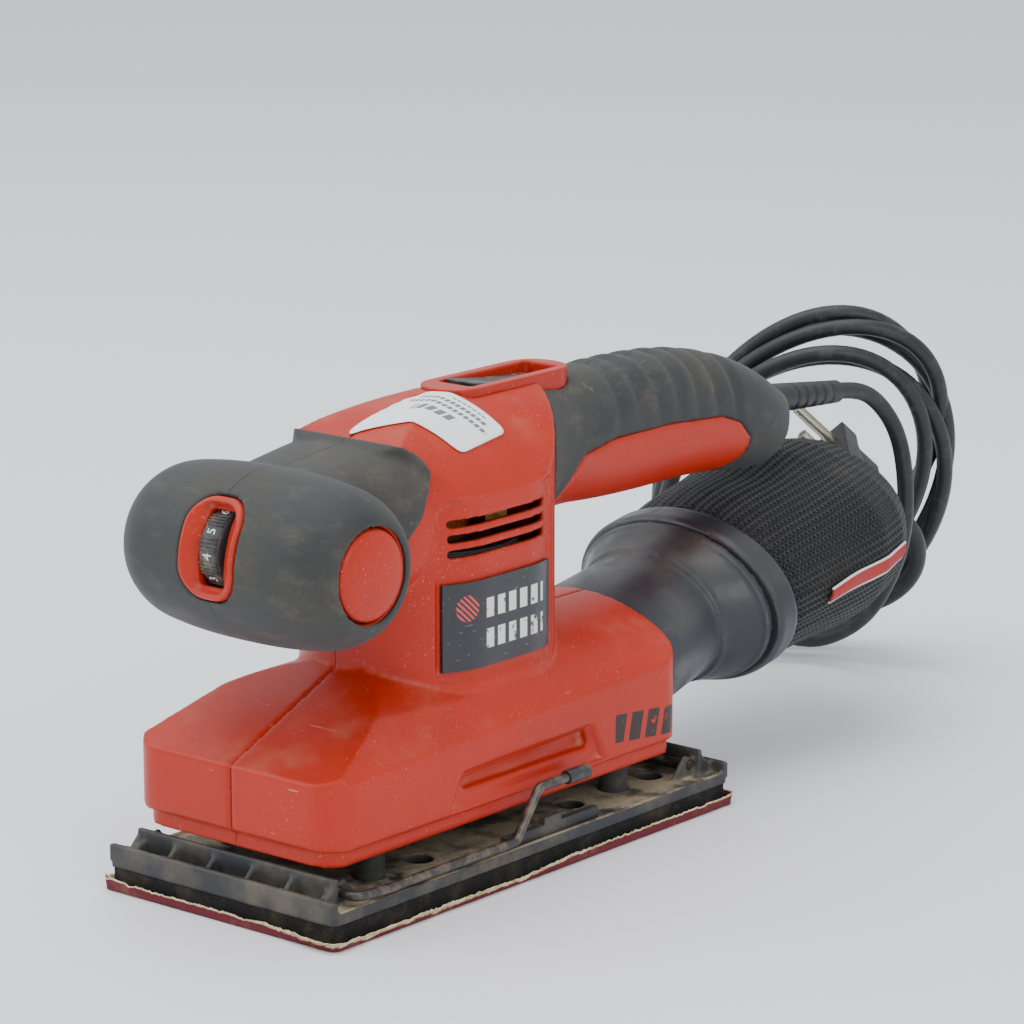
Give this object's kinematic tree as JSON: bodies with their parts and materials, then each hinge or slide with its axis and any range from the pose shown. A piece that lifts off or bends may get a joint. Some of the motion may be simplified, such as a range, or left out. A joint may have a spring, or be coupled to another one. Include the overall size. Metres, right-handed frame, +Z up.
{
  "type": "orbital sander",
  "caption": "Corded orbital sander for a third of a sheet: red housing, rubber cross grip and rear handle, oscillating platen with wire paper clamps, dust bag and coiled lead.",
  "frame": {"origin": "centre of the sanding plate on the working face of the paper, below the spindle axis", "axes": "+Z up along the spindle, -Y towards the cross grip at the front, +Y towards the rear handle, dust bag and lead, +X to the tool's left-hand flank seen from behind the cross grip"},
  "size_m": [0.1391, 0.4001, 0.1445],
  "materials": {
    "housing": "satin",
    "grip": "matt, dusty",
    "platen": "matt, dusty",
    "dark_plastic": "satin",
    "adapter": "satin, worn edges",
    "foam": "cellular",
    "abrasive": "grit",
    "steel": "bare",
    "laminations": "stacked sheet",
    "copper": "enamelled wire",
    "brass": "bare",
    "carbon": "pressed graphite",
    "board": "resin",
    "bag": "knitted mesh",
    "tag": "woven",
    "label": "printed foil",
    "sticker": "coated",
    "lead": "satin",
    "pins": "plated",
    "fan": "satin"
  },
  "bodies": {
    "body": {"housing_left": "housing", "housing_right": "housing", "front_grip_rubber": "grip", "grip_end_plug_left": "housing", "grip_end_plug_right": "housing", "dial_frame": "housing", "dial_pin": "steel", "handle_rubber": "grip", "switch_frame": "housing", "switch_body": "dark_plastic", "nameplate_left": "label", "nameplate_right": "label", "paper_sticker": "sticker", "speed_control_board": "board", "motor_stator": "laminations", "field_coils": "copper", "upper_bearing": "steel", "lower_bearing": "steel", "brush_holder_left": "brass", "brush_holder_right": "brass", "carbon_brush_left": "carbon", "carbon_brush_right": "carbon", "housing_screws": "steel", "strain_relief": "lead", "cord_clamp": "dark_plastic", "dust_adapter": "adapter", "bag_ring": "adapter", "dust_bag": "bag", "bag_tag": "tag", "mains_lead": "lead", "lead_hank": "lead", "plug_lead": "lead", "plug_body": "lead", "plug_pins": "pins"},
    "spindle": {"motor_shaft": "steel", "armature_core": "laminations", "armature_winding": "copper", "commutator": "copper", "cooling_fan": "fan", "counterweight": "laminations", "eccentric_screw": "steel", "retaining_washer": "steel"},
    "platen": {"platen_plate": "platen", "platen_bearing": "steel", "foam_pad": "foam", "sanding_paper": "abrasive", "flexible_posts": "grip", "clamp_catch_left": "platen", "clamp_catch_right": "platen"},
    "front_clamp": {"front_clamp_wire": "steel", "front_clamp_grip": "dark_plastic"},
    "rear_clamp": {"rear_clamp_wire": "steel", "rear_clamp_grip": "dark_plastic"},
    "dial": {"speed_dial": "dark_plastic"},
    "rocker": {"switch_rocker": "dark_plastic"}
  },
  "joints": [
    {"name": "spindle_spin", "type": "hinge", "parent": "body", "child": "spindle", "pos_m": [0, 0, 0.05], "axis": [0, 0, 1], "continuous": true},
    {"name": "platen_orbit", "type": "hinge", "parent": "spindle", "child": "platen", "pos_m": [0, 0.001, 0.015], "axis": [0, 0, 1], "continuous": true},
    {"name": "front_clamp_swing", "type": "hinge", "parent": "platen", "child": "front_clamp", "pos_m": [0, -0.0837, 0.0137], "axis": [1, 0, 0], "range_deg": [0, 60]},
    {"name": "rear_clamp_swing", "type": "hinge", "parent": "platen", "child": "rear_clamp", "pos_m": [0, 0.0837, 0.0137], "axis": [-1, 0, 0], "range_deg": [0, 60]},
    {"name": "dial_turn", "type": "hinge", "parent": "body", "child": "dial", "pos_m": [0, -0.0845, 0.1107], "axis": [1, 0, 0], "range_deg": [-130, 130]},
    {"name": "rocker_tip", "type": "hinge", "parent": "body", "child": "rocker", "pos_m": [0, 0.034, 0.1351], "axis": [1, 0, 0], "range_deg": [0, 11]}
  ],
  "couplings": [
    {"joint": "platen_orbit", "follows": "spindle_spin", "ratio": -1}
  ]
}
